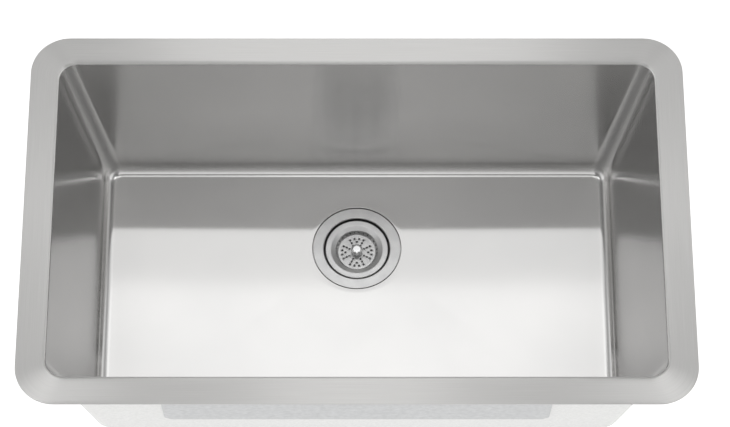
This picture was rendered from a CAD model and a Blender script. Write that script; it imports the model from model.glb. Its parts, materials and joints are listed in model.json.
import json
from math import cos, pi, radians, sin, tan

import bmesh
import bpy
import numpy as np
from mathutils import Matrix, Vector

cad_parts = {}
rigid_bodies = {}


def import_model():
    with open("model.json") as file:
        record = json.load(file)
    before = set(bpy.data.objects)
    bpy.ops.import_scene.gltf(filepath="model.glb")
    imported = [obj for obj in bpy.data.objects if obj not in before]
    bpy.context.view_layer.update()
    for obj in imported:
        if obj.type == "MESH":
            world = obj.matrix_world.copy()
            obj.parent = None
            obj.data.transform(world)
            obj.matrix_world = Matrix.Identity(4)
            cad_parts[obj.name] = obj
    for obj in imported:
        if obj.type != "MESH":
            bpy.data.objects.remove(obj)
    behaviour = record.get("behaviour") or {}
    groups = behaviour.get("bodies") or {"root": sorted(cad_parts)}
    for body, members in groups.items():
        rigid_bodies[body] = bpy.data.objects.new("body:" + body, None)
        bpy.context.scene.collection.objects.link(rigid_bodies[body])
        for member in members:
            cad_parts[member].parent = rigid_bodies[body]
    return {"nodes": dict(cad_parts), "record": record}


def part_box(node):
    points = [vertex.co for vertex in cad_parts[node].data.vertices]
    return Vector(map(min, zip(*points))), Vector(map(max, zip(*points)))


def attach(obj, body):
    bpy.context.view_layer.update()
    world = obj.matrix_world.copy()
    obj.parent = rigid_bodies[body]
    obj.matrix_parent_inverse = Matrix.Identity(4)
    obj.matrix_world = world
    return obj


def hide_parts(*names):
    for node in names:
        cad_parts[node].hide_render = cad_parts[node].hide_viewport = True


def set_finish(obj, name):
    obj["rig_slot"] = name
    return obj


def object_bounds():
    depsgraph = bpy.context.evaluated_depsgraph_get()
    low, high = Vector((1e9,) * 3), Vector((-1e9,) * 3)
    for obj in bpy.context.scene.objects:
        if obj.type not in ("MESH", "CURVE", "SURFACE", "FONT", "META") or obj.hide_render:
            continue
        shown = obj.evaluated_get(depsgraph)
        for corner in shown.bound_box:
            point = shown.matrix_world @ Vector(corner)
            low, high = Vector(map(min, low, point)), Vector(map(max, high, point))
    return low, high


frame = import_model()
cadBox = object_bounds()
nodes = frame["nodes"]
mm = 0.001
samePoint = 1e-7            # points closer than this, in metres, are one
sameLevel = 1e-6            # heights closer than this are one level
nearZero = 1e-20            # divides in place of nothing
onAxis = 0.0001             # rounding, in millimetres, of a corner on the axis

# The drain's axis and the top of the strainer's flange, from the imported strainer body.
flangeLow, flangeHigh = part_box("strainer_body")
drainBack = (flangeLow.y + flangeHigh.y) / 2
flangeTop = flangeHigh.z


def gridFaces(rows, columns, closedRows=True, closedColumns=True):
    # Quads between neighbouring rows and columns of a grid of points, turning over at closed ends.
    i, j = np.meshgrid(
        np.arange(rows if closedRows else rows - 1),
        np.arange(columns if closedColumns else columns - 1), indexing="ij")
    nextI, nextJ = (i + 1) % rows, (j + 1) % columns
    corners = [i * columns + j, i * columns + nextJ, nextI * columns + nextJ, nextI * columns + j]
    return np.stack(corners, axis=-1).reshape(-1, 4)


def outwardFaces(points, faces):
    # A closed skin has a positive volume when its faces point outwards: six times the volume is the
    # sum, over each quad's two triangles, of corner . (corner x corner). Otherwise the order turns.
    a, b, c, d = (points[faces[:, k]] for k in range(4))
    volume = (a * np.cross(b, c)).sum() + (a * np.cross(c, d)).sum()
    return faces if volume > 0 else faces[:, ::-1]


def softNormals(mesh):
    # Each corner's normal is the sum of its point's face normals, each weighted by the face's area,
    # so broad flat faces stay flat beside narrow rounded edges.
    count = len(mesh.polygons)
    normals, areas = np.zeros(count * 3, np.float32), np.zeros(count, np.float32)
    totals, loops = np.zeros(count, np.int32), np.zeros(len(mesh.loops), np.int32)
    mesh.polygons.foreach_get("normal", normals)
    mesh.polygons.foreach_get("area", areas)
    mesh.polygons.foreach_get("loop_total", totals)
    mesh.loops.foreach_get("vertex_index", loops)
    weighted = normals.reshape(-1, 3) * areas[:, None]
    summed = np.zeros((len(mesh.vertices), 3))
    np.add.at(summed, loops, np.repeat(weighted, totals, axis=0))
    length = np.linalg.norm(summed, axis=1, keepdims=True)
    mesh.normals_split_custom_set_from_vertices(summed / np.maximum(length, nearZero))


def addObject(name, data):
    thing = bpy.data.objects.new(name, data)
    bpy.context.scene.collection.objects.link(thing)
    return thing


def addPiece(name, mesh, body, replaced, slot):
    # A shown piece: the body it moves with, the nodes it stands for and its material slot.
    piece = addObject(name, mesh)
    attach(piece, body)
    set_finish(piece, slot)
    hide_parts(*replaced)
    return piece


def meshFrom(name, points, faces, poles=False):
    # A smooth mesh from points and quads; poles closes rows that shrink to one point.
    mesh = bpy.data.meshes.new(name)
    mesh.vertices.add(len(points))
    mesh.vertices.foreach_set("co", points.astype(np.float32).ravel())
    mesh.loops.add(faces.size)
    mesh.loops.foreach_set("vertex_index", faces.astype(np.int32).ravel())
    mesh.polygons.add(len(faces))
    mesh.polygons.foreach_set("loop_start", np.arange(len(faces), dtype=np.int32) * faces.shape[1])
    mesh.update(calc_edges=True)
    mesh.validate()
    if poles:
        work = bmesh.new()
        work.from_mesh(mesh)
        bmesh.ops.remove_doubles(work, verts=work.verts, dist=samePoint)
        work.to_mesh(mesh)
        work.free()
    mesh.polygons.foreach_set("use_smooth", np.ones(len(mesh.polygons), bool))
    softNormals(mesh)
    return mesh


def gridPiece(name, grid, body, replaced, slot, poles=False):
    # A closed skin from rows of points that wrap round both ways.
    points = grid.reshape(-1, 3)
    faces = outwardFaces(points, gridFaces(*grid.shape[:2]))
    return addPiece(name, meshFrom(name, points, faces, poles), body, replaced, slot)


def unitVectors(vectors):
    return vectors / np.linalg.norm(vectors, axis=1, keepdims=True)


def rounded(corners, steps=5):
    # Closed outline from (radius, depth, rounding) corners in millimetres. Each corner becomes an arc
    # about a point on its bisector, by turning one spoke into the other at an even rate.
    corner = np.array(corners, float)
    place, radius = corner[:, :2], corner[:, 2:]
    before, after = (unitVectors(np.roll(place, way, axis=0) - place) for way in (1, -1))
    half = np.arccos(np.clip((before * after).sum(1, keepdims=True), -1, 1)) / 2
    centre = place + unitVectors(before + after) * radius / np.sin(half)
    start = place + before * radius / np.tan(half) - centre
    end = place + after * radius / np.tan(half) - centre
    sweep = (pi - 2 * half)[:, None]
    t = np.linspace(0, 1, steps + 1)[None, :, None]
    spokes = start[:, None] * np.sin((1 - t) * sweep) + end[:, None] * np.sin(t * sweep)
    return (centre[:, None] + spokes / np.sin(sweep)).reshape(-1, 2)


def finely(outline, low, high, step, upright=0.2):
    # The outline with extra points, a step apart, on its upright runs between two depths. A run is
    # upright when its radius changes by less than that.
    pieces = []
    for start, end in zip(outline, np.roll(outline, -1, axis=0)):
        count = 1
        reaches = min(start[1], end[1]) < high and max(start[1], end[1]) > low
        if reaches and abs(start[0] - end[0]) < upright:
            count = max(1, int(abs(start[1] - end[1]) / step))
        t = np.linspace(0, 1, count, endpoint=False)[:, None]
        pieces.append(start * (1 - t) + end * t)
    return np.concatenate(pieces)


def aroundDrain(radius, turn, depth):
    # Points about the drain's axis: a radius and a depth below the flange in millimetres, and an angle.
    x, y = radius * np.cos(turn) * mm, radius * np.sin(turn) * mm + drainBack
    return np.stack([x, y, flangeTop - depth * mm], axis=-1)


def sideBySide(outline, count):
    # An outline's radii and depths, repeated for each of the columns.
    return np.repeat(outline[:, :1], count, axis=1), np.repeat(outline[:, 1:], count, axis=1)


# A thread's wave across one pitch, cut off flat at crest and root, and the length of its run-out.
threadWave = dict(crest=1.35, slope=3.4, runOut=0.8, nearby=0.01)


def turnedPoints(outline, steps, ridges=()):
    # The outline turned about the drain's axis. Ridges are threads: near their radius, a point moves
    # in by the depth times a wave that climbs one pitch per turn.
    w = threadWave
    turn = np.linspace(0, 2 * pi, steps, endpoint=False)
    radius, depth = sideBySide(outline, steps)
    for r in ridges:
        phase = (depth / r["pitch"] + turn / (2 * pi)) % 1
        groove = np.clip(w["crest"] - np.abs(phase - 0.5) * w["slope"], 0, 1)
        begun = np.clip((depth - r["top"]) / w["runOut"], 0, 1)
        ends = begun * np.clip((r["bottom"] - depth) / w["runOut"], 0, 1)
        near = np.abs(radius - r["radius"]) < w["nearby"]
        radius = radius - near * ends * groove * r["depth"]
    return aroundDrain(radius, turn, depth)


def turnedPiece(name, corners, body, slot, steps=160, ridges=(), rounding=5, poles=False, fine=None):
    # A ring, or a solid of revolution when its outline touches the axis.
    outline = rounded(corners, rounding)
    if fine:
        outline = finely(outline, *fine)
    if poles:
        outline[:, 0] = np.maximum(outline[:, 0], 0)
    gridPiece(name + "_turned", turnedPoints(outline, steps, ridges), body, [name], slot, poles)


bowl = dict(
    rimWidth=35.5 * mm,
    rimCorner=48.0 * mm,
    sheet=1.5 * mm,
    draft=6.0,              # lean of the front and back walls, degrees
    endDraft=9.0,           # lean of the two end walls
    cornerRadius=22.0 * mm,
    floorRadius=15.0 * mm,
    floorDepth=252.5 * mm,
    floorFall=1.5 * mm,
    mouthBend=4.5 * mm,
    edgeRound=0.35 * mm,
    recessRadius=59.0 * mm,
    recessTop=-0.5 * mm,    # where the step's top edge lies, outward from that radius
    recessFoot=-1.3 * mm,   # and where its foot lies
    recessDepth=2.6 * mm,
    holeRadius=45.0 * mm,
    fallEnd=0.86,           # share of the way to the drain where the floor levels out
    longSteps=60, shortSteps=36, cornerSteps=16,
    coveSteps=15, wallSteps=15, lipSteps=9, rimSteps=7, floorRings=30, stepSteps=9, flatSteps=5,
    edgeTurns=(30, 60, 90),
    rimRow=4,               # a row of points on the rim's top
    floorMargin=2.0 * mm,   # faces below this height above the border are the floor's
)


def perimeter(long, short, corner):
    # One turn round a rounded rectangle: where each point lies between the corner centres
    # (-1 to 1 in x and y), and which way its outward normal points.
    sideLong = np.linspace(-1, 1, long, endpoint=False)
    sideShort = np.linspace(-1, 1, short, endpoint=False)
    quarter = np.linspace(0, pi / 2, corner, endpoint=False)
    cx, cy, turn = [], [], []
    for side in range(4):
        along = sideShort if side % 2 == 0 else sideLong
        here = side * pi / 2
        ax, ay = round(cos(here)), round(sin(here))
        tx, ty = -ay, ax
        cx += [ax + tx * along, np.full(corner, ax + tx)]
        cy += [ay + ty * along, np.full(corner, ay + ty)]
        turn += [np.full(len(along), here), here + quarter]
    return np.concatenate(cx), np.concatenate(cy), np.concatenate(turn)


def wallInset(b, grow, draft, z):
    # How far inside the mouth a wall lies at a height: a straight lean between two arcs, the cove
    # below (a circle touching floor and wall) and the bend above (a circle touching wall and rim).
    lean = radians(draft)
    straight = -z * tan(lean) - grow / cos(lean)
    r = b["floorRadius"] + grow
    low = r - b["floorDepth"] - grow
    coveMiddle = -low * tan(lean) - grow / cos(lean) + r / cos(lean)
    cove = coveMiddle - np.sqrt(np.maximum(r * r - (z - low) ** 2, 0))
    e = b["mouthBend"] - grow
    high = -grow - e
    bendMiddle = -high * tan(lean) - grow / cos(lean) - e / cos(lean)
    bend = bendMiddle + np.sqrt(np.maximum(e * e - (z - high) ** 2, 0))
    inset = np.where(z < low - r * sin(lean), cove, straight)
    return np.where(z > high + e * sin(lean), bend, inset)


def bowlSection(b, grow):
    # The walls' section from the floor's border up to the rim, as insets of the end and long walls,
    # height and corner radius, for the inside (grow 0) or a skin that lies outside it by grow.
    r, e = b["floorRadius"] + grow, b["mouthBend"] - grow
    coveTurn = np.radians(np.linspace(0, 90 - b["draft"], b["coveSteps"]))
    cove = -b["floorDepth"] - grow + r * (1 - np.cos(coveTurn))
    lip = -grow - e + e * np.sin(np.radians(np.linspace(b["draft"], 90, b["lipSteps"])))
    wall = cove[-1] + (lip[0] - cove[-1]) * np.linspace(0, 1, b["wallSteps"])[1:-1]
    height = np.concatenate([cove, wall, lip])
    insetX = wallInset(b, grow, b["endDraft"], height)
    insetY = wallInset(b, grow, b["draft"], height)
    straight = -height * tan(radians(b["draft"])) - grow / cos(radians(b["draft"]))
    corner = b["cornerRadius"] + grow + straight - insetY
    return insetX, insetY, height, corner


def ringPoints(halfX, halfY, corner, height, around):
    # Rounded rectangles stacked up: corner centres pushed out by the corner radius along the normal.
    cx, cy, turn = around
    halfX, halfY, corner, height = (np.atleast_1d(v)[:, None] for v in (halfX, halfY, corner, height))
    x = cx * (halfX - corner) + corner * np.cos(turn)
    y = cy * (halfY - corner) + corner * np.sin(turn)
    return np.stack([x, y, np.broadcast_to(height, x.shape)], axis=-1)


def floorFall(b, share):
    # Depth below the border at a share of the way to the drain: a smooth step from none to the fall.
    down = np.clip(share / b["fallEnd"], 0, 1)
    return b["floorFall"] * down * down * (3 - 2 * down)


def floorFan(b, border, grow):
    # From the floor's border to the drain's recess: each point runs straight to the circle round it.
    drain = np.array([0.0, drainBack])
    away = unitVectors(border[:, :2] - drain)
    circle = drain + away * (b["recessRadius"] + grow + b["recessTop"])
    t = np.linspace(0, 1, b["floorRings"] + 1)[1:, None, None]
    flat = border[None, :, :2] * (1 - t) + circle[None] * t
    height = np.broadcast_to(-b["floorDepth"] - grow - floorFall(b, t[..., 0]), flat.shape[:2])
    return np.concatenate([flat, height[..., None]], axis=-1), away


def drainStep(b, away, grow):
    # The stamped step: a soft fall, half a cosine wave, to the flat that the flange lies on.
    low = b["floorDepth"] + b["floorFall"] + grow
    r = b["recessRadius"] + grow
    t = np.linspace(0, 1, b["stepSteps"])[1:]
    fallRadius = r + b["recessTop"] + (b["recessFoot"] - b["recessTop"]) * t
    fallHeight = -low - b["recessDepth"] * (0.5 - 0.5 * np.cos(pi * t))
    inner = np.linspace(r + b["recessFoot"], b["holeRadius"], b["flatSteps"])[1:]
    radius = np.concatenate([fallRadius, inner])
    height = np.concatenate([fallHeight, np.full(len(inner), -low - b["recessDepth"])])
    plan = np.array([0.0, drainBack]) + away[None] * radius[:, None, None]
    return np.concatenate([plan, np.broadcast_to(height[:, None], plan.shape[:2])[..., None]], axis=-1)


def mouthSize(b):
    # Half the mouth's length and depth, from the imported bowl.
    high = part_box("bowl")[1]
    return high.x - b["rimWidth"], high.y - b["rimWidth"]


def sinkSurface(b):
    # All rings of the closed shell: from the rim's edge down the inside to the drain hole, back up
    # the outside, and round the edge.
    around = perimeter(b["longSteps"], b["shortSteps"], b["cornerSteps"])
    halfX, halfY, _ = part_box("bowl")[1]
    mouthX, mouthY = mouthSize(b)
    e = b["edgeRound"]
    sides = []
    for grow in (0.0, b["sheet"]):
        insetX, insetY, height, corner = bowlSection(b, grow)
        walls = ringPoints(mouthX - insetX, mouthY - insetY, corner, height, around)
        fan, away = floorFan(b, walls[0], grow)
        t = np.linspace(0, 1, b["rimSteps"])[1:]
        x = (mouthX - insetX[-1]) * (1 - t) + (halfX - e) * t
        y = (mouthY - insetY[-1]) * (1 - t) + (halfY - e) * t
        c = corner[-1] * (1 - t) + (b["rimCorner"] - e) * t
        rim = ringPoints(x, y, c, np.full(len(t), height[-1]), around)
        sides.append(np.concatenate([rim[::-1], walls[::-1], fan, drainStep(b, away, grow)]))
    turn = np.radians(b["edgeTurns"])
    out = e * np.sin(turn) - e
    upper = ringPoints(halfX + out, halfY + out, b["rimCorner"] + out, e * np.cos(turn) - e, around)
    lower = upper.copy()
    lower[..., 2] = -b["sheet"] - upper[..., 2]
    return np.concatenate([upper[::-1], sides[0], sides[1][::-1], lower])


def addGrain(piece, rings, b):
    # Two maps in metres. grain runs along the brush lines first: round the bowl on the walls and the
    # rim, along x on the floor. spread runs first the way that reflections are drawn out: across the
    # brush lines on walls and rim, along x on the floor. facing is how far the surface turns to the
    # front or the back.
    mesh = piece.data
    columns = rings.shape[1]
    level = b["floorMargin"] - b["floorDepth"]
    loops = np.zeros(len(mesh.loops), np.int32)
    mesh.loops.foreach_get("vertex_index", loops)
    points = rings.reshape(-1, 3)[loops].reshape(-1, 4, 3)
    row, column = loops.reshape(-1, 4) // columns, loops.reshape(-1, 4) % columns
    wraps = (column.min(axis=1) == 0) & (column.max(axis=1) == columns - 1)
    column = np.where(wraps[:, None] & (column == 0), columns, column)
    rim = np.concatenate([rings[b["rimRow"]], rings[b["rimRow"], :1]])
    length = np.concatenate([[0], np.cumsum(np.linalg.norm(np.diff(rim, axis=0), axis=1))])
    outward = rings[..., 0].max(axis=1) - mouthSize(b)[0] + rings[..., 2].max(axis=1)
    flat = (points[..., 2].max(axis=1) < level)[:, None, None]
    grain = np.where(flat, points[..., :2], np.stack([length[column], outward[row]], axis=-1))
    spread = np.where(flat, grain, grain[..., ::-1])
    for name, values in (("grain", grain), ("spread", spread)):
        uv = mesh.uv_layers.new(name=name)
        uv.data.foreach_set("uv", values.astype(np.float32).ravel())
    normals = np.zeros(len(mesh.vertices) * 3, np.float32)
    mesh.vertices.foreach_get("normal", normals)
    facing = mesh.attributes.new("facing", "FLOAT", "POINT")
    facing.data.foreach_set("value", np.abs(normals[1::3]))


def makeBowl(b):
    # Pressed steel with the brushing's two maps.
    rings = sinkSurface(b)
    addGrain(gridPiece("steel_bowl", rings, "sink", ["bowl"], "bowl_steel"), rings, b)
    print("bowl: rings", rings.shape[0], "points round", rings.shape[1])


coat = dict(
    thickness=0.8 * mm, belowRim=12.0 * mm, wander=2.4 * mm, feather=4.0 * mm, bareRadius=68.5 * mm,
    under=0.05 * mm,        # how far the skin's inner face lies off the steel
    edgeWaves=(7, 17, 41), lumpWaves=(11, 29, 53), wave=0.16, lumpHeight=9.0,
    wallRows=34, crowding=1.4, floorRings=16)


def sway(around, lengths):
    # A slow uneven wave round the bowl, from 0 to 1: three sines of the way round, out of step.
    t = np.linspace(0, 2 * pi, around, endpoint=False)
    total = sum(np.sin(t * n + n * n) / (k + 1) for k, n in enumerate(lengths))
    return (total - total.min()) / (total.max() - total.min())


def coatSide(c, b, mouth, around, outside):
    # One face of the skin, from its top edge down the wall, round the cove and in to the bare circle.
    # It thins out over the last few millimetres below its wandering top edge.
    cx, cy, turn = around
    count = len(turn)
    section = bowlSection(b, b["sheet"] + outside * c["thickness"])
    insetX, insetY, height, corner = (v[:b["coveSteps"]] for v in section)
    cove = ringPoints(mouth[0] - insetX, mouth[1] - insetY, corner, height, around)
    edge = -c["belowRim"] - c["wander"] * sway(count, c["edgeWaves"])
    t = np.linspace(0, 1, c["wallRows"] + 1)[1:, None] ** c["crowding"]
    z = edge * (1 - t) + height[-1] * t
    z = np.concatenate([edge[None], z[:-1]])
    thin = np.clip((edge - z) / c["feather"], 0, 1)
    thin = thin * (2 - thin)
    lumps = 1 - c["wave"] * sway(count, c["lumpWaves"]) * np.sin(z / mm / c["lumpHeight"]) ** 2
    grow = b["sheet"] + c["under"] + outside * (c["thickness"] - c["under"]) * thin * lumps
    r = b["cornerRadius"] + grow
    ends, long = radians(b["endDraft"]), radians(b["draft"])
    x = cx * (mouth[0] + z * tan(ends) + grow / cos(ends) - r) + r * np.cos(turn)
    y = cy * (mouth[1] + z * tan(long) + grow / cos(long) - r) + r * np.sin(turn)
    wall = np.stack([x, y, z], axis=-1)
    border = cove[0]
    away = border[:, :2] - np.array([0.0, drainBack])
    far = np.linalg.norm(away, axis=1)
    run = far - b["recessRadius"] - b["recessTop"]
    t = np.linspace(0, 1, c["floorRings"] + 1)[1:, None] * ((far - c["bareRadius"]) / run)
    flat = border[None, :, :2] - away * (t * run / far)[..., None]
    low = -b["floorDepth"] - b["sheet"] - outside * c["thickness"] - floorFall(b, t)
    floor = np.concatenate([flat, low[..., None]], axis=-1)
    return np.concatenate([wall, cove[::-1], floor])


def makeUndercoat(c, b):
    # Down the skin's outer face and back up the inner one.
    around = perimeter(b["longSteps"] * 2, b["shortSteps"] * 2, b["cornerSteps"])
    outer, inner = (coatSide(c, b, mouthSize(b), around, outside) for outside in (1.0, 0.0))
    grid = np.concatenate([outer, inner[::-1]])
    gridPiece("sprayed_undercoat", grid, "sink", ["undercoat"], "undercoat")
    print("undercoat: rows", grid.shape[0], "points round", grid.shape[1])


pad = dict(
    thickness=3.0 * mm, corner=12.0 * mm, edge=0.9 * mm, ridge=0.35 * mm, ridgePitch=7.5 * mm,
    frame=7.0 * mm, embed=0.15 * mm,
    belowRim=60.0 * mm, height=130.0 * mm, sideLength=240.0 * mm, longLength=480.0 * mm,
    floorLength=190.0 * mm, floorWidth=110.0 * mm, floorOut=205.0 * mm, floorForward=38.0 * mm,
    coveShare=0.9,          # share of the floor's bend that is left off the floor's reach
    edgeTurns=(0, 25, 50, 70, 90), frameSteps=(0.3, 0.55, 0.8), ridgeSteps=4, middleSteps=25,
    valleyGain=1.6, valleyStart=0.3)


def padGrid(p, length, width):
    # A slab over a rounded rectangle: columns close in at the corners along their circle. Its height
    # climbs a quarter circle at the border, and low ridges run along it inside a flat frame.
    e = p["edge"]
    turn = np.radians(p["edgeTurns"])
    steps = np.concatenate([[0], e * (1 - np.cos(turn))])
    rise = np.concatenate([[0], p["thickness"] - e + e * np.sin(turn)])
    ridges = int((width / 2 - p["frame"]) * 2 / p["ridgePitch"])
    inner = np.linspace(-1, 1, ridges * p["ridgeSteps"] + 1) * ridges * p["ridgePitch"] / 2
    v = np.concatenate([-width / 2 + steps, inner, (width / 2 - steps)[::-1]])
    vRise = np.concatenate([rise, np.full(len(inner), p["thickness"]), rise[::-1]])
    r = p["corner"]
    past = np.clip(np.abs(v) - (width / 2 - r), 0, r)
    half = (length / 2 - r + np.sqrt(np.maximum(r * r - past * past, 0)))[:, None]
    middle = np.linspace(-1, 1, p["middleSteps"])[1:-1] * (half - p["frame"])
    frameIn = np.array(p["frameSteps"])
    sideIn = np.concatenate([steps, steps[-1] + frameIn * (p["frame"] - steps[-1])])
    sideRise = np.concatenate([rise, np.full(len(frameIn), p["thickness"])])
    u = np.concatenate([-half + sideIn, middle, (half - sideIn)[:, ::-1]], axis=1)
    uRise = np.concatenate([sideRise, np.full(middle.shape[1], p["thickness"]), sideRise[::-1]])
    height = np.minimum(vRise[:, None], uRise[None])
    inFrame = np.minimum(half - np.abs(u), width / 2 - np.abs(v)[:, None]) - p["frame"]
    valley = 0.5 - 0.5 * np.cos(2 * pi * v[:, None] / p["ridgePitch"] + pi * (ridges % 2 + 1))
    valley = np.clip(valley * p["valleyGain"] - p["valleyStart"], 0, 1)
    height = height - p["ridge"] * valley * np.clip(inFrame / mm, 0, 1)
    return u, np.broadcast_to(v[:, None], u.shape), np.maximum(height, 0)


def padPiece(name, p, u, v, height, place):
    # Top and back share their border; place turns (along, across, height) into points.
    top = place(u, v, height).reshape(-1, 3)
    back = place(u, v, np.minimum(height, 0) - p["embed"] * (height > 0)).reshape(-1, 3)
    quads = gridFaces(*u.shape, False, False)
    points = np.concatenate([top, back])
    faces = outwardFaces(points, np.concatenate([quads, quads[:, ::-1] + len(top)]))
    ridged = name + "_ridged"
    addPiece(ridged, meshFrom(ridged, points, faces, poles=True), "sink", [name], "sound_pad")


def makePads(p, b):
    # Three slabs, each laid twice: on the end walls, on the long walls and under the floor.
    mouthX, mouthY = mouthSize(b)
    ends, long = radians(b["endDraft"]), radians(b["draft"])
    middle = -p["belowRim"] - p["height"] / 2
    reach = np.array([mouthX - b["floorDepth"] * tan(ends), mouthY - b["floorDepth"] * tan(long)])
    reach = reach - b["floorRadius"] * p["coveShare"]

    def onWall(side, mouth, lean, across):
        # Up the outside of a leaning wall, along y on the end walls and along x on the long ones.
        def place(u, v, h):
            z = middle + v
            out = side * (mouth + z * tan(lean) + (b["sheet"] + h) / cos(lean))
            return np.stack([u, out, z] if across else [out, u, z], axis=-1)
        return place

    def underFloor(side):
        # How far along the ray from the drain to the floor's border a point lies sets its depth.
        def place(u, v, h):
            x, y = side * p["floorOut"] + u, drainBack - p["floorForward"] + v
            ray = np.stack([x, y - drainBack], axis=-1)
            far = np.linalg.norm(ray, axis=-1)
            aside, ahead = (np.maximum(np.abs(ray[..., k]), nearZero) for k in (0, 1))
            toBorder = reach[1] - np.sign(ray[..., 1]) * drainBack
            border = far * np.minimum(reach[0] / aside, toBorder / ahead)
            share = (border - far) / (border - b["recessRadius"] - b["recessTop"])
            z = -b["floorDepth"] - floorFall(b, share) - b["sheet"] - h
            return np.stack([x, y, z], axis=-1)
        return place

    endGrid = padGrid(p, p["sideLength"], p["height"])
    longGrid = padGrid(p, p["longLength"], p["height"])
    floorGrid = padGrid(p, p["floorLength"], p["floorWidth"])
    for name, grid, place in (
            ("left", endGrid, onWall(-1, mouthX, ends, False)),
            ("right", endGrid, onWall(1, mouthX, ends, False)),
            ("front", longGrid, onWall(-1, mouthY, long, True)),
            ("back", longGrid, onWall(1, mouthY, long, True)),
            ("floor_left", floorGrid, underFloor(-1)),
            ("floor_right", floorGrid, underFloor(1))):
        padPiece("sound_pad_" + name, p, *grid, place)
    print("pads: six, with ridges")


strainer = dict(
    flangeRadius=57.15, cupRadius=43.2, wall=1.1,
    edgeRound=0.5,          # rolled edge of the flange
    shoulder=1.6,           # bends from the flange into the cup and on into its cone
    outerBend=2.4,
    straight=33.0, seatDepth=42.0, seatRadius=29.0,
    neckRadius=21.5, neckOuter=23.9, ledgeRadius=19.5, ledgeDepth=50.0, neckBottom=62.0,
    cupThread=dict(radius=44.3, depth=0.4, pitch=1.6, top=7.0, bottom=29.2),
    neckThread=dict(radius=23.9, depth=0.4, pitch=1.6, top=48.6, bottom=61.6),
    fine=(6.8, 61.8, 0.2),  # depths between which the threads' rows lie, and their step
)


def makeStrainer(s):
    # Down the inside of the cup to the neck's outlet, and back up its threaded outside. The cone's
    # outside lies one wall outside its inside, measured across the slope.
    cup, seat, wall, neck = s["cupRadius"], s["seatDepth"], s["wall"], s["neckRadius"]
    rise = (s["straight"] - seat) / (cup - s["seatRadius"])
    outer = cup + wall
    seatOut = s["seatRadius"] + wall * tan(np.arctan(-rise) / 2)
    corners = [
        (s["flangeRadius"], 0, s["edgeRound"]),
        (cup, 0, s["shoulder"]),
        (cup, s["straight"], s["shoulder"]),
        (s["seatRadius"], seat, s["shoulder"]),
        (neck, seat, 0.5),
        (neck, s["ledgeDepth"], 0.1),
        (s["ledgeRadius"], s["ledgeDepth"], 0.3),
        (s["ledgeRadius"], s["neckBottom"], 0.3),
        (s["neckOuter"], s["neckBottom"], 0.4),
        (s["neckOuter"], seat + wall, 0.3),
        (seatOut, seat + wall, s["outerBend"]),
        (outer, seat + wall + rise * (outer - seatOut), s["outerBend"]),
        (outer, wall, 0.5),
        (s["flangeRadius"], wall, s["edgeRound"]),
    ]
    threads = (s["cupThread"], s["neckThread"])
    turnedPiece("strainer_body", corners, "sink", "strainer_steel", ridges=threads, fine=s["fine"])
    print("strainer: body turned with", len(corners), "corners")


# node: body, slot, inner and outer radius, top and bottom depth, rounding of the four corners
plainRings = dict(
    putty_ring=("sink", "putty", 46.9, 55.15, 1.1, 2.1, 0.45),
    under_gasket=("sink", "gasket_rubber", 44.5, 58.0, 3.6, 6.6, 0.7),
    friction_ring=("sink", "fibre", 44.5, 56.5, 6.6, 7.6, 0.2),
    tail_washer=("sink", "washer_plastic", 18.05, 22.6, 62.0, 64.0, 0.5),
    spacer_sleeve=("basket", "post_steel", 3.05, 5.2, 13.8, 35.7, 0.3),
    stopper_plate=("basket", "post_steel", 3.05, 22.0, 35.7, 36.7, 0.3),
)


def makeRings(r):
    # Rectangles with rounded corners, turned round the drain's axis.
    for node, (body, slot, inner, outer, top, bottom, edge) in r.items():
        corners = [(outer, top, edge), (inner, top, edge), (inner, bottom, edge), (outer, bottom, edge)]
        turnedPiece(node, corners, body, slot, steps=128, rounding=4)
    print("rings: putty, gaskets, washer, sleeve and plate")


stopper = dict(
    bore=3.05, radius=27.0, top=36.7, bottom=41.7,
    groove=0.7, grooveOut=24.0, grooveIn=6.05, grooveSlope=1.0,
    lip=0.6, lipOut=25.8, lipIn=22.5, lipRise=1.6, lipSlope=1.5)


def makeStopper(s):
    # A rubber disc with a rounded rim, a moulded groove above and a shallow sealing lip below.
    lipDepth = s["bottom"] - s["lip"]
    corners = [
        (s["radius"], s["top"], 1.6),
        (s["grooveOut"], s["top"], 0.3),
        (s["grooveOut"] - s["grooveSlope"], s["top"] + s["groove"], 0.3),
        (s["grooveIn"] + s["grooveSlope"], s["top"] + s["groove"], 0.3),
        (s["grooveIn"], s["top"], 0.3),
        (s["bore"], s["top"], 0.3),
        (s["bore"], s["bottom"], 0.3),
        (s["lipIn"] - s["lipSlope"], s["bottom"], 0.4),
        (s["lipIn"], lipDepth, 0.4),
        (s["lipOut"], lipDepth, 0.9),
        (s["radius"], s["bottom"] - s["lipRise"], 0.6),
    ]
    turnedPiece("rubber_stopper", corners, "basket", "stopper_rubber", steps=144)
    print("stopper: rubber disc")


tail = dict(
    bore=18.05, radius=19.05, flange=22.6, top=64.0, flangeThick=1.3, bottom=166.0,
    bead=0.25, beadAt=104.0, beadHalf=2.2, beadFlat=1.32)


def makeTail(s):
    # The flanged tube, with a faint drawn ring where the trap's nut stops, and a rolled lower edge.
    corners = [
        (s["flange"], s["top"], 0.4),
        (s["bore"], s["top"], 0.5),
        (s["bore"], s["bottom"], 0.4),
        (s["radius"], s["bottom"], 0.45),
        (s["radius"], s["beadAt"] + s["beadHalf"], 1.0),
        (s["radius"] + s["bead"], s["beadAt"] + s["beadFlat"], 1.0),
        (s["radius"] + s["bead"], s["beadAt"] - s["beadFlat"], 1.0),
        (s["radius"], s["beadAt"] - s["beadHalf"], 1.0),
        (s["radius"], s["top"] + s["flangeThick"], 0.25),
        (s["flange"], s["top"] + s["flangeThick"], 0.4),
    ]
    turnedPiece("tailpiece", corners, "sink", "tailpiece_chrome")
    print("tailpiece: flanged tube")


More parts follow.
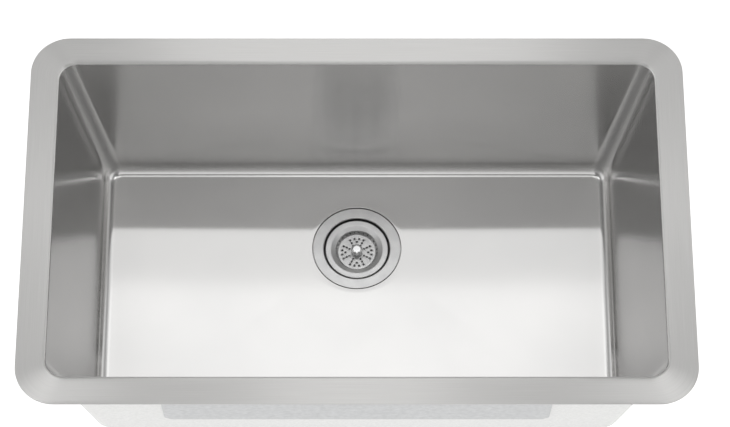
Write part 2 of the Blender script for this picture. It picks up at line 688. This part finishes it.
lockNut = dict(
    bore=44.4, top=7.6, height=11.0, radius=50.5, flange=56.0, flangeThick=2.6,
    lugs=6, lugWidth=9.0, edge=0.6,
    topColumns=(-1.0, -0.9, -0.55, 0, 0.55, 0.9, 1.0), flankColumns=(-0.35, 0.35, 1.0), betweenSteps=12)


def makeLockNut(s):
    # Round the axis the outer radius is the ring's, or the lugs' where the angle lies within half a
    # lug's width of one. Columns crowd at the lugs' flanks. Down the section the flange comes first.
    pitch = 2 * pi / s["lugs"]
    half = s["lugWidth"] / 2 / s["flange"]
    flank = s["edge"] / s["flange"]
    lugTop, falling = np.array(s["topColumns"]), np.array(s["flankColumns"])
    between = np.linspace(half + flank, pitch - half - flank, s["betweenSteps"])[1:]
    sector = np.concatenate([
        lugTop * (half - flank), half + flank * falling, between, pitch - half + flank * falling[:-1]])
    turn = (np.arange(s["lugs"])[:, None] * pitch + sector).ravel()
    offset = np.abs((turn + pitch / 2) % pitch - pitch / 2)
    lug = np.clip((half - offset) / flank * 0.5 + 0.5, 0, 1)
    lug = lug * lug * (3 - 2 * lug)
    e = s["edge"]
    bottom = s["top"] + s["height"]
    flangeLow = s["top"] + s["flangeThick"]
    corners = [
        (s["flange"], s["top"], e),
        (s["bore"], s["top"], 0.3),
        (s["bore"], bottom, 0.5),
        (s["radius"], bottom, e),
        (s["radius"], flangeLow, e),
        (s["flange"], flangeLow, e),
    ]
    radius, depth = sideBySide(rounded(corners), len(turn))
    wall = np.clip((radius - s["radius"] + e) / e, 0, 1) * (depth > flangeLow - e)
    radius = radius + wall * lug * np.clip(s["flange"] - radius, 0, s["flange"] - s["radius"])
    gridPiece("lock_nut_cast", aroundDrain(radius, turn, depth), "sink", ["lock_nut"], "zinc")
    print("lock nut:", s["lugs"], "lugs")


couplingNut = dict(
    sides=8, radius=28.5, cornerLeft=1.0, top=50.9, bottom=67.9, lipTop=65.3,
    threadBore=24.02, lipBore=19.75, edge=0.5, blend=4, sideSteps=14)


def nutPoints(s, corners):
    # The outside follows a regular polygon: the flat's distance over the cosine of the angle from the
    # flat's middle, kept within a circle just past the flats. Its top and bottom edges are rounded,
    # and the polygon fades into round over a few roundings inward.
    half = pi / s["sides"]
    flat = s["radius"] * cos(half)
    inSide = np.linspace(-half, half, s["sideSteps"], endpoint=False)
    turn = (np.arange(s["sides"])[:, None] * 2 * half + inSide + half).ravel()
    side = np.tile(inSide, s["sides"])
    across = np.minimum(flat / np.cos(side), flat + s["cornerLeft"]) - flat
    e = s["edge"]
    outline = rounded([(flat, s["top"], e), *corners, (flat, s["bottom"], e)])
    radius, depth = sideBySide(outline, len(turn))
    blendWidth = s["blend"] * e
    radius = radius + np.clip((radius - flat + blendWidth) / blendWidth, 0, 1) * across
    return aroundDrain(radius, turn, depth)


def makeCouplingNut(s):
    # Eight flats round a threaded bore, which narrows to a lip at the bottom.
    corners = [
        (s["threadBore"], s["top"], 0.4),
        (s["threadBore"], s["lipTop"], 0.2),
        (s["lipBore"], s["lipTop"], 0.3),
        (s["lipBore"], s["bottom"], 0.5),
    ]
    gridPiece("coupling_nut_polished", nutPoints(s, corners), "sink", ["coupling_nut"], "nut_chrome")
    print("coupling nut:", s["sides"], "flats")


postNut = dict(
    sides=6, radius=5.2, cornerLeft=0.45, top=41.7, bottom=45.1, bore=3.05, edge=0.35, blend=4,
    sideSteps=14)


def makePostNut(s):
    # Six flats round a plain bore.
    corners = [(s["bore"], s["top"], 0.25), (s["bore"], s["bottom"], 0.25)]
    gridPiece("post_nut_machined", nutPoints(s, corners), "basket", ["post_nut"], "brass")
    print("post nut:", s["sides"], "flats")


post = dict(
    radius=3.0, top=3.2, nutBottom=45.1, neck=2.15, headTop=54.1, headBottom=55.5,
    thread=dict(radius=3.0, depth=0.22, pitch=0.7, top=36.9, bottom=44.9),
    fine=(36.9, 44.9, 0.12))


def makePost(s):
    # A rod with a fine thread where the nut sits, a thin neck for the clip and a rounded head.
    corners = [
        (0.0, s["top"], onAxis),
        (s["radius"], s["top"], 0.3),
        (s["radius"], s["nutBottom"], 0.3),
        (s["neck"], s["nutBottom"], 0.15),
        (s["neck"], s["headTop"], 0.2),
        (s["radius"], s["headTop"], 0.25),
        (s["radius"], s["headBottom"], 0.6),
        (0.0, s["headBottom"], onAxis),
    ]
    turnedPiece("basket_post", corners, "basket", "post_steel", steps=64, ridges=[s["thread"]],
                rounding=4, poles=True, fine=s["fine"])
    print("post: rod with neck and head")


basket = dict(
    lip=41.4, lipTop=3.0, lipDrop=2.6, lipFlat=34.0, lipFall=0.2, lipBend=6.0,
    cupRadius=27.6, cupTop=5.4, floorRadius=25.0, floorTop=13.0, floorBorder=3.2,
    bore=3.05, wall=0.8, bend=1.4, arcSteps=6, farOut=60, farTop=1, farLow=30,
    slots=28, slotWidth=1.7, slotTop=7.3, slotBottom=11.1, slotInset=2, slotColumns=5, ribColumns=6,
    slotTurns=(14, 32, 55, 90), slotRows=4,
    holeRadius=1.35, fans=4, fanHalf=27.0, rowStart=10.6, rowStep=4.3, rows=3, firstRow=2, holeSides=16,
    normalWeight=60)


def basketWall(s):
    # The top surface as a path from the lip's turned-down edge to the floor's border, every corner
    # an arc. Two corners far out close it for rounding, and are left off again: what is kept runs
    # from the last point of the first corner's arc to the first point of the last one's.
    steps = s["arcSteps"]
    path = [
        (s["lip"], s["lipTop"] + s["lipDrop"], 0.01),
        (s["lip"], s["lipTop"], s["bend"]),
        (s["lipFlat"], s["lipTop"] + s["lipFall"], s["lipBend"]),
        (s["cupRadius"], s["cupTop"], s["bend"]),
        (s["floorRadius"], s["floorTop"], s["bend"]),
        (s["floorRadius"] - s["floorBorder"], s["floorTop"], 0.01),
    ]
    closing = [(s["farOut"], s["farLow"], 1.0), (s["farOut"], s["farTop"], 1.0)]
    return rounded(path + closing, steps)[steps: (len(path) - 1) * (steps + 1) + 1]


def slotRows(s):
    # The rows across a slot, top to bottom, as (depth, share of full width): its ends are half circles,
    # narrower by the sine of the angle from the end's tip.
    half = s["slotWidth"] / 2
    turn = np.radians(s["slotTurns"])
    down = half * (1 - np.cos(turn))
    share = np.sin(turn)
    top = np.stack([s["slotTop"] + down, share], axis=-1)
    bottom = np.stack([s["slotBottom"] - down, share], axis=-1)[::-1]
    middle = np.linspace(top[-1], bottom[0], s["slotRows"])[1:-1]
    return np.concatenate([top, middle, bottom])


def basketGrid(s):
    # The turned wall's points, and its quads with the slots left out. In each of the equal sectors the
    # first columns cross the slot and draw together at its ends; the others cross the rib.
    outline = basketWall(s)
    last = np.where(outline[:, 1] < s["slotTop"])[0][-1]
    slot = slotRows(s)
    fall = (s["floorRadius"] - s["cupRadius"]) / (s["floorTop"] - s["cupTop"])
    slotLine = np.stack([s["cupRadius"] + fall * (slot[:, 0] - s["cupTop"]), slot[:, 0]], axis=-1)
    below = outline[last + 1:]
    line = np.concatenate([outline[:last + 1], slotLine, below])
    share = np.concatenate([np.ones(last + 1), slot[:, 1], np.ones(len(below))])

    pitch = 2 * pi / s["slots"]
    half = s["slotWidth"] / 2 / (s["cupRadius"] - s["slotInset"])
    inside = np.linspace(-1, 1, s["slotColumns"])
    ribs = np.linspace(half, pitch - half, s["ribColumns"])[1:-1]
    middles = (np.arange(s["slots"]) + 0.5) * pitch
    slotTurn = middles[:, None, None] + share[None, :, None] * half * inside
    ribTurn = (middles[:, None] + ribs)[:, None, :].repeat(len(line), axis=1)
    turn = np.concatenate([slotTurn, ribTurn], axis=-1)
    perSector = turn.shape[-1]
    turn = turn.transpose(1, 0, 2).reshape(len(line), -1)
    grid = aroundDrain(line[:, :1], turn, np.broadcast_to(line[:, 1:], turn.shape))
    columns = turn.shape[1]
    faces = gridFaces(len(line), columns, False, True)
    row, column = faces[:, 0] // columns, faces[:, 0] % columns % perSector
    opened = (row > last) & (row < last + len(slot)) & (column < len(inside) - 1)
    return grid.reshape(-1, 3), faces[~opened]


def makeBasket(s):
    # The wall's border and the holes' circles bound the floor, which is filled in between them. Then
    # the one-sided skin gets its thickness.
    points, faces = basketGrid(s)
    mesh = bpy.data.meshes.new("basket_shell_pressed")
    work = bmesh.new()
    mesh.from_pydata(points.tolist(), [], faces.tolist())
    work.from_mesh(mesh)
    bmesh.ops.delete(work, geom=[v for v in work.verts if not v.link_faces], context="VERTS")
    floorLevel = flangeTop - s["floorTop"] * mm
    loops = [e for e in work.edges if e.is_boundary
             and max(abs(v.co.z - floorLevel) for v in e.verts) < sameLevel]
    for circle in basketHoles(s):
        ring = [work.verts.new((px, py, floorLevel)) for px, py in circle]
        loops += [work.edges.new((ring[k - 1], ring[k])) for k in range(len(ring))]
    bmesh.ops.triangle_fill(work, edges=loops, use_beauty=True)
    bmesh.ops.recalc_face_normals(work, faces=work.faces)
    if sum(f.normal.z * f.calc_area() for f in work.faces) < 0:
        bmesh.ops.reverse_faces(work, faces=work.faces)
    work.to_mesh(mesh)
    work.free()
    mesh.polygons.foreach_set("use_smooth", np.ones(len(mesh.polygons), bool))
    piece = addPiece("basket_shell_pressed", mesh, "basket", ["basket_shell"], "basket_steel")
    thick = piece.modifiers.new("wall", "SOLIDIFY")
    thick.thickness = s["wall"] * mm
    thick.offset = -1
    thick.use_even_offset = True
    flat = piece.modifiers.new("normals", "WEIGHTED_NORMAL")
    flat.weight = s["normalWeight"]
    print("basket: shell with", s["slots"], "slots")


def basketHoles(s):
    # Circles in the floor: each fan has rows at even steps out, each row one more hole than the last,
    # spread evenly over the fan's angle; and the post's bore in the middle.
    circle = np.linspace(0, 2 * pi, s["holeSides"], endpoint=False)
    unit = np.stack([np.cos(circle), np.sin(circle)], axis=-1)
    middle = np.array([0.0, drainBack])
    circles = [middle + unit * s["bore"] * mm]
    for row in range(s["rows"]):
        out = s["rowStart"] + row * s["rowStep"]
        spread = np.radians(np.linspace(-s["fanHalf"], s["fanHalf"], s["firstRow"] + row))
        for fan in range(s["fans"]):
            for turn in spread + fan * 2 * pi / s["fans"]:
                centre = middle + out * mm * np.array([cos(turn), sin(turn)])
                circles.append(centre + unit * s["holeRadius"] * mm)
    return circles


knob = dict(
    cap=7.5, capTop=1.6, capHeight=5.0, crown=0.04, crownOut=3.375, dome=3.2, underCap=0.4,
    stem=4.2, waist=3.906, bottom=13.0, bore=3.0, boreTop=3.2)


def makeKnob(s):
    # A domed cap on a waisted stem, open below for the post.
    low = s["capTop"] + s["capHeight"]
    corners = [
        (0.0, s["capTop"], onAxis),
        (s["crownOut"], s["capTop"] + s["crown"], 2.0),
        (s["cap"], s["capTop"] + s["crown"] * 3, s["dome"]),
        (s["cap"], low, 0.7),
        (s["stem"], low + s["underCap"], 1.0),
        (s["waist"], (low + s["bottom"]) / 2, 8.0),
        (s["stem"], s["bottom"], 0.3),
        (s["bore"], s["bottom"], 0.2),
        (s["bore"], s["boreTop"], 0.2),
        (0.0, s["boreTop"], onAxis),
    ]
    turnedPiece("basket_knob", corners, "basket", "knob_chrome", steps=96, rounding=8, poles=True)
    print("knob: domed cap and stem")


def newMaterial(name):
    material = bpy.data.materials.new(name)
    material.use_nodes = True
    tree = material.node_tree
    shader = next(n for n in tree.nodes if n.type == "BSDF_PRINCIPLED")
    return material, tree, shader


def link(tree, source, output, target, socket):
    tree.links.new(source.outputs[output], target.inputs[socket])


def addNode(tree, kind, values=None):
    node = tree.nodes.new("ShaderNode" + kind)
    for socket, value in (values or {}).items():
        node.inputs[socket].default_value = value
    return node


def noise(tree, scale, detail=2.0, roughness=0.5):
    return addNode(tree, "TexNoise", {"Scale": scale, "Detail": detail, "Roughness": roughness})


def mapRange(tree, fromMin, fromMax, toMin, toMax):
    span = {"From Min": fromMin, "From Max": fromMax, "To Min": toMin, "To Max": toMax}
    return addNode(tree, "MapRange", span)


def ramp(tree, low, high, dark, light):
    node = addNode(tree, "ValToRGB")
    first, last = node.color_ramp.elements
    first.position, last.position = low, high
    first.color, last.color = (*dark, 1), (*light, 1)
    return node


def bump(tree, strength, distance):
    return addNode(tree, "Bump", {"Strength": strength, "Distance": distance})


# Most of a noise's values lie between the first two, and of a slow noise between the others.
noiseSpan = (0.3, 0.7)
cloudSpan = (0.35, 0.65)


def brushedSteel(name, s):
    # Fine scratches: noise drawn out along the brush direction drives roughness and a faint bump,
    # and a slower noise mottles the colour.
    material, tree, shader = newMaterial(name)
    shader.inputs["Metallic"].default_value = 1.0
    place = addNode(tree, "TexCoord")
    stretch = addNode(tree, "Mapping", {"Scale": s["scratchScale"]})
    scratch = noise(tree, 1.0, detail=6.0, roughness=0.65)
    cloud = noise(tree, s["cloudScale"])
    rough = mapRange(tree, *noiseSpan, *s["roughness"])
    tint = ramp(tree, *cloudSpan, s["dark"], s["light"])
    relief = bump(tree, s["bump"], s.get("bumpDepth", 0.02 * mm))
    if "anisotropy" in s:
        bowlBrushing(tree, shader, s, place, stretch, scratch, rough, tint)
    else:
        link(tree, place, "Object", stretch, "Vector")
        link(tree, rough, "Result", shader, "Roughness")
        link(tree, tint, "Color", shader, "Base Color")
    link(tree, stretch, "Vector", scratch, "Vector")
    link(tree, place, "Object", cloud, "Vector")
    link(tree, scratch, "Fac", rough, "Value")
    link(tree, cloud, "Fac", tint, "Fac")
    link(tree, scratch, "Fac", relief, "Height")
    link(tree, relief, "Normal", shader, "Normal")
    return material


def bowlBrushing(tree, shader, s, place, stretch, scratch, rough, tint):
    # The bowl's scratches follow its grain map, and its reflections are drawn out along the spread
    # map. It is rougher on the front and back walls. Across rimSpan begins the rim, brushed coarser:
    # roughness = own + rim mask x rimExtra + wall part, and its colour follows the scratches.
    brush = addNode(tree, "UVMap")
    brush.uv_map = "grain"
    tangent = addNode(tree, "Tangent")
    tangent.direction_type = "UV_MAP"
    tangent.uv_map = "spread"
    shader.inputs["Anisotropic"].default_value = s["anisotropy"]
    facing = addNode(tree, "Attribute")
    facing.attribute_name = "facing"
    onWall = mapRange(tree, *s["facingSpan"], 0.0, s["wallExtra"])
    split = addNode(tree, "SeparateXYZ")
    onRim = mapRange(tree, *s["rimSpan"], 0.0, 1.0)
    extra = addNode(tree, "Math", {1: s["rimExtra"]})
    extra.operation = "MULTIPLY_ADD"
    total = addNode(tree, "Math")
    rimTint = ramp(tree, *noiseSpan, s["rimDark"], s["rimLight"])
    colour = addNode(tree, "Mix")
    colour.data_type = "RGBA"
    link(tree, brush, "UV", stretch, "Vector")
    link(tree, tangent, "Tangent", shader, "Tangent")
    link(tree, place, "Object", split, "Vector")
    link(tree, split, "Z", onRim, "Value")
    link(tree, facing, "Fac", onWall, "Value")
    link(tree, onRim, "Result", extra, 0)
    link(tree, onWall, "Result", extra, 2)
    link(tree, extra, "Value", total, 0)
    link(tree, rough, "Result", total, 1)
    link(tree, total, "Value", shader, "Roughness")
    link(tree, scratch, "Fac", rimTint, "Fac")
    link(tree, onRim, "Result", colour, 0)
    link(tree, tint, "Color", colour, 6)
    link(tree, rimTint, "Color", colour, 7)
    link(tree, colour, 2, shader, "Base Color")    # sockets 6, 7 and 2 are the colour ones


def plainMaterial(name, s):
    # One noise at the surface's own grain drives colour, roughness and bump.
    material, tree, shader = newMaterial(name)
    shader.inputs["Metallic"].default_value = s.get("metallic", 0.0)
    place = addNode(tree, "TexCoord")
    grain = noise(tree, s["grain"], detail=5.0, roughness=0.6)
    tint = ramp(tree, *noiseSpan, s["dark"], s["light"])
    rough = mapRange(tree, *noiseSpan, *s["roughness"])
    relief = bump(tree, s["bump"], s.get("bumpDepth", 0.1 * mm))
    link(tree, place, "Object", grain, "Vector")
    link(tree, grain, "Fac", tint, "Fac")
    link(tree, tint, "Color", shader, "Base Color")
    link(tree, grain, "Fac", rough, "Value")
    link(tree, rough, "Result", shader, "Roughness")
    link(tree, grain, "Fac", relief, "Height")
    link(tree, relief, "Normal", shader, "Normal")
    return material


bowlFinish = dict(
    scratchScale=(10, 2200, 1), cloudScale=7.0, roughness=(0.115, 0.14), anisotropy=1.0,
    facingSpan=(0.3, 0.8), wallExtra=0.13,
    rimSpan=(-3.0 * mm, -1.0 * mm), rimExtra=0.16,
    dark=(0.645, 0.641, 0.635), light=(0.67, 0.665, 0.657), bump=0.04,
    rimDark=(0.57, 0.565, 0.555), rimLight=(0.65, 0.645, 0.635))
drainFinish = dict(
    scratchScale=(300, 300, 300), cloudScale=60.0, roughness=(0.30, 0.35),
    dark=(0.64, 0.64, 0.64), light=(0.70, 0.70, 0.695), bump=0.015)
chromeFinish = dict(
    scratchScale=(200, 200, 200), cloudScale=40.0, roughness=(0.05, 0.10),
    dark=(0.74, 0.745, 0.75), light=(0.80, 0.80, 0.80), bump=0.03)
zincFinish = dict(
    metallic=1.0, grain=420.0, dark=(0.40, 0.40, 0.41), light=(0.52, 0.53, 0.54),
    roughness=(0.38, 0.52), bump=0.35)
brassFinish = dict(
    metallic=1.0, grain=220.0, dark=(0.55, 0.40, 0.17), light=(0.68, 0.52, 0.25),
    roughness=(0.25, 0.40), bump=0.10)
rubberFinish = dict(
    grain=500.0, dark=(0.018, 0.018, 0.020), light=(0.035, 0.035, 0.037), roughness=(0.55, 0.75), bump=0.20)
coatFinish = dict(
    grain=260.0, dark=(0.72, 0.72, 0.71), light=(0.82, 0.82, 0.81), roughness=(0.75, 0.95),
    bump=0.60, bumpDepth=0.6 * mm)
padFinish = dict(
    grain=150.0, dark=(0.50, 0.505, 0.51), light=(0.62, 0.625, 0.63), roughness=(0.6, 0.8),
    bump=0.35, bumpDepth=0.4 * mm)
puttyFinish = dict(
    grain=180.0, dark=(0.46, 0.44, 0.39), light=(0.58, 0.56, 0.50), roughness=(0.6, 0.8), bump=0.3)
washerFinish = dict(
    grain=160.0, dark=(0.70, 0.70, 0.67), light=(0.78, 0.78, 0.76), roughness=(0.35, 0.5), bump=0.1)
fibreFinish = dict(
    grain=700.0, dark=(0.33, 0.22, 0.13), light=(0.45, 0.32, 0.20), roughness=(0.7, 0.9), bump=0.4)


def assign(piece, material):
    piece.data.materials.clear()
    piece.data.materials.append(material)


# slot: name of its material, and its finish; a finish with scratches is a brushed or polished metal
looks = dict(
    bowl_steel=("bowl_brushed", bowlFinish),
    undercoat=("sprayed_undercoat", coatFinish),
    sound_pad=("pressed_rubber_pad", padFinish),
    strainer_steel=("polished_steel", drainFinish),
    putty=("putty", puttyFinish),
    gasket_rubber=("gasket_rubber", rubberFinish),
    fibre=("fibre_ring", fibreFinish),
    zinc=("cast_zinc", zincFinish),
    brass=("machined_brass", brassFinish),
    basket_steel=("basket_polished", drainFinish),
    knob_chrome=("chrome_plated", chromeFinish),
    post_steel=("turned_steel", drainFinish),
    stopper_rubber=("stopper_rubber", rubberFinish),
    clip_steel=("spring_steel", drainFinish),
    washer_plastic=("white_washer", washerFinish),
    tailpiece_chrome=("chrome_plated", chromeFinish),
    nut_chrome=("chrome_plated", chromeFinish),
)


def dressSlots():
    # One material per name, given to every shown piece and kept node of its slots.
    made = {}
    for name, finish in looks.values():
        if name not in made:
            maker = brushedSteel if "scratchScale" in finish else plainMaterial
            made[name] = maker(name, finish)
    for row in frame["record"]["subparts"]:
        assign(nodes[row["node"]], made[looks[row["material_slot"]][0]])
    for piece in bpy.data.objects:
        if piece.type == "MESH" and piece.get("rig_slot") in looks:
            assign(piece, made[looks[piece["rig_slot"]][0]])
    print("materials:", len(looks), "slots")


studio = dict(
    # name: place, size, radiance at the box's face; a box off the middle has a twin on the other side
    boxes=dict(
        frontFar=((0.0, -2.5, 2.75), (1.5, 1.1), 0.72),
        frontNear=((0.0, -1.5, 2.75), (1.5, 0.9), 1.02),
        frontEdge=((0.0, -0.9, 2.75), (1.5, 0.3), 0.48),
        overhead=((0.0, 0.1, 2.75), (0.5, 0.8), 1.30),
        overEnds=((0.5, 0.1, 2.75), (0.5, 0.8), 0.30),
        overSide=((1.1, 0.1, 2.75), (0.7, 0.8), 1.70),
        backNear=((0.0, 1.1, 2.75), (1.5, 0.4), 1.02),
        backMiddle=((0.0, 1.5, 2.75), (1.5, 0.4), 0.68),
        backFar=((0.0, 2.1, 2.75), (1.1, 0.8), 1.55),
        backSide=((1.2, 1.4, 2.75), (0.8, 0.4), 0.46),
    ),
    # The sky's radiance near the horizon, then in a middle band and overhead, front and back of each.
    skyLow=1.25, skyMiddle=(0.80, 0.52), skyHigh=(0.18, 0.43),
    lowToMiddle=(0.10, 0.35), middleToHigh=(0.45, 0.70), frontToBack=(-0.5, 0.5),
    skySide=1.25, middleToSide=(0.66, 0.90),
    floorReach=12.0, floorGlow=0.55, floorRoughness=0.9, floorColour=(0.93, 0.93, 0.925, 1),
)


def softBox(name, place, size, radiance):
    # A box facing straight down; its power is pi times its area times its radiance.
    light = bpy.data.lights.new(name, "AREA")
    light.shape = "RECTANGLE"
    light.size, light.size_y = size
    light.energy = pi * size[0] * size[1] * radiance
    lamp = addObject(name, light)
    lamp.location = place
    lamp.visible_camera = False


def blend(tree, factor, low, high):
    # Between two strengths, each a number or a socket; inputs 0, 2 and 3 are the ones for numbers.
    node = addNode(tree, "Mix")
    for source, socket in ((factor, 0), (low, 2), (high, 3)):
        if isinstance(source, float):
            node.inputs[socket].default_value = source
        else:
            tree.links.new(source, node.inputs[socket])
    return node.outputs[0]


def makeSky(s):
    # White all round. Its strength goes by the direction's height from the low band to the middle one
    # and on to the high one, and in the last two by how far back the direction points. Far out to
    # either side it is brighter still.
    world = bpy.data.worlds.new("studio")
    world.use_nodes = True
    tree = world.node_tree
    background = next(n for n in tree.nodes if n.type == "BACKGROUND")
    background.inputs["Color"].default_value = (1, 1, 1, 1)
    split = addNode(tree, "SeparateXYZ")
    link(tree, addNode(tree, "TexCoord"), "Generated", split, "Vector")

    def along(axis, span, ends=(0.0, 1.0)):
        node = mapRange(tree, *span, *ends)
        node.interpolation_type = "SMOOTHSTEP"
        link(tree, split, axis, node, "Value")
        return node.outputs["Result"]

    sideways = addNode(tree, "Math")
    sideways.operation = "ABSOLUTE"
    link(tree, split, "X", sideways, 0)
    toSide = mapRange(tree, *s["middleToSide"], 0.0, 1.0)
    link(tree, sideways, "Value", toSide, "Value")
    middle, high = (along("Y", s["frontToBack"], s[band]) for band in ("skyMiddle", "skyHigh"))
    lower = blend(tree, along("Z", s["lowToMiddle"]), s["skyLow"], middle)
    upper = blend(tree, along("Z", s["middleToHigh"]), lower, high)
    strength = blend(tree, toSide.outputs["Result"], upper, s["skySide"])
    tree.links.new(strength, background.inputs["Strength"])
    bpy.context.scene.world = world


def makeFloor(s):
    # A wide plane that glows a little, at the height of the drain pipe's end.
    reach, level = s["floorReach"], cadBox[0].z
    corners = np.array([(-1, -1), (1, -1), (1, 1), (-1, 1)]) * reach
    points = np.column_stack([corners, np.full(4, level)])
    floor = addObject("floor", meshFrom("floor", points, np.array([[0, 1, 2, 3]])))
    material, _, shader = newMaterial("pale_floor")
    shader.inputs["Base Color"].default_value = s["floorColour"]
    shader.inputs["Roughness"].default_value = s["floorRoughness"]
    shader.inputs["Emission Color"].default_value = (1, 1, 1, 1)
    shader.inputs["Emission Strength"].default_value = s["floorGlow"]
    assign(floor, material)


def makeStudio():
    # Sky, soft boxes with their twins mirrored in x, and the floor.
    makeSky(studio)
    for name, (place, size, radiance) in studio["boxes"].items():
        softBox(name, place, size, radiance)
        if place[0]:
            softBox(name + "_twin", (-place[0], place[1], place[2]), size, radiance)
    makeFloor(studio)
    bpy.context.scene.view_settings.view_transform = "Standard"
    print("studio:", len(studio["boxes"]), "soft boxes")


# A pinhole camera fitted to the photo: focal length, width and middle in pixels, tilt in degrees,
# place and clip end in metres, sensor in millimetres.
view = dict(
    focalPixels=2758.1, imageWidth=730, middlePixel=356.8, tilt=24.53, back=1.3916, height=3.0557,
    sensor=36.0, clipEnd=100)


def makeCamera(v):
    # The lens is the focal length on the sensor's scale; the shift moves the picture's middle.
    camera = bpy.data.cameras.new("camera")
    camera.sensor_width = v["sensor"]
    camera.lens = v["focalPixels"] * v["sensor"] / v["imageWidth"]
    camera.shift_x = (v["imageWidth"] / 2 - v["middlePixel"]) / v["imageWidth"]
    camera.clip_end = v["clipEnd"]
    holder = addObject("camera", camera)
    holder.location = (0, -v["back"], v["height"])
    holder.rotation_euler = (radians(v["tilt"]), 0, 0)
    bpy.context.scene.camera = holder


makeCamera(view)
makeBowl(bowl)
makeStrainer(strainer)
makeRings(plainRings)
makeStopper(stopper)
makeTail(tail)
makeLockNut(lockNut)
makeCouplingNut(couplingNut)
makeBasket(basket)
makeKnob(knob)
makePost(post)
makePostNut(postNut)
makeUndercoat(coat, bowl)
makePads(pad, bowl)
dressSlots()
makeStudio()
